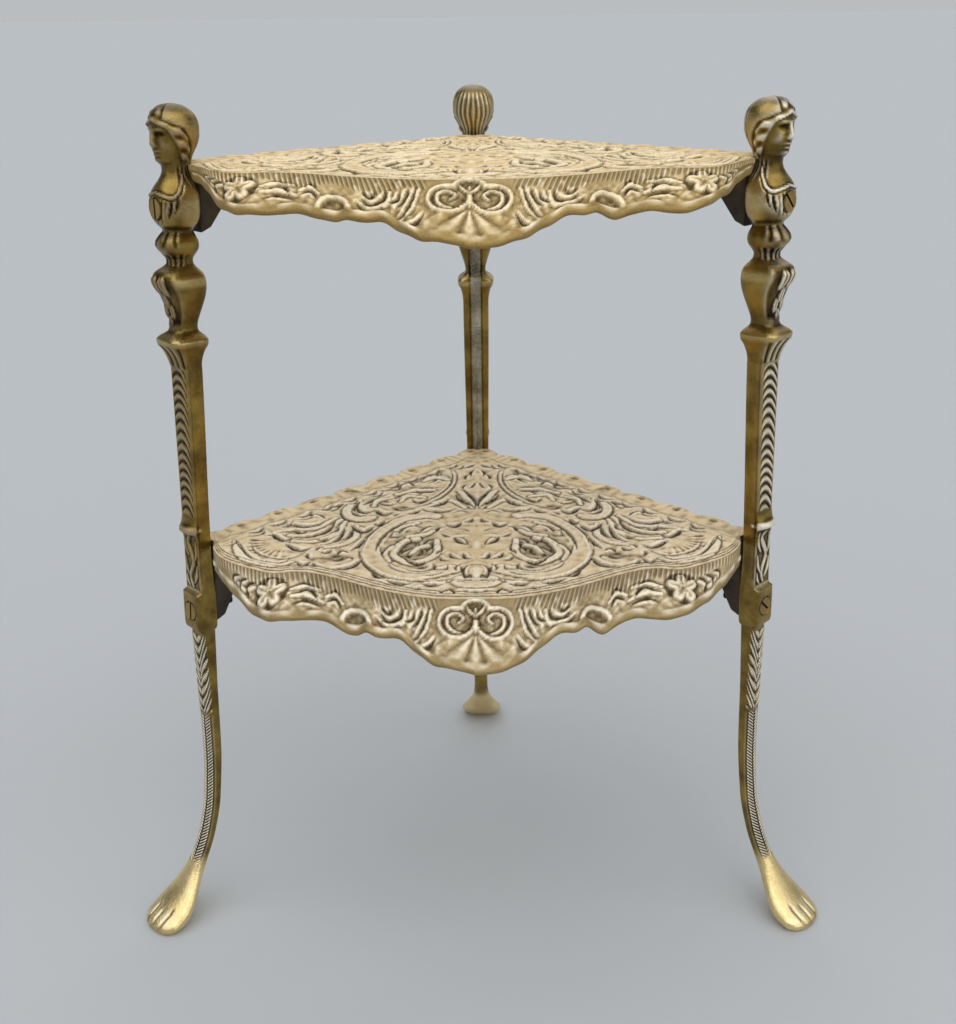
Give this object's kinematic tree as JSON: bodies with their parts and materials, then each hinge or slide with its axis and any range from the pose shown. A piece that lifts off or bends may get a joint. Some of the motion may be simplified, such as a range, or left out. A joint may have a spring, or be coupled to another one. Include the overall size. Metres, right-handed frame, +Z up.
{
  "type": "corner plant stand",
  "caption": "Cast brass corner plant stand: relief-cast shelves with flared scalloped aprons, screwed to figure-headed legs that curve out into paw feet.",
  "frame": {"origin": "on the floor, under the middle of the whole object's box", "axes": "+Z up, -Y towards the open front, +Y towards the room corner, +X to the right seen from the front"},
  "size_m": [0.4584, 0.367, 0.5307],
  "materials": {
    "shelf_brass": "dusty matt champagne brass with dark recesses",
    "leg_brass": "aged satin brass with dark recesses and bright rubbed paws",
    "screw_brass": "worn satin brass"
  },
  "bodies": {
    "root": {"upper_shelf": "shelf_brass", "lower_shelf": "shelf_brass", "left_leg": "leg_brass", "right_leg": "leg_brass", "rear_leg": "leg_brass", "upper_left_screw": "screw_brass", "upper_right_screw": "screw_brass", "upper_rear_screw": "screw_brass", "lower_left_screw": "screw_brass", "lower_right_screw": "screw_brass", "lower_rear_screw": "screw_brass"}
  },
  "joints": []
}
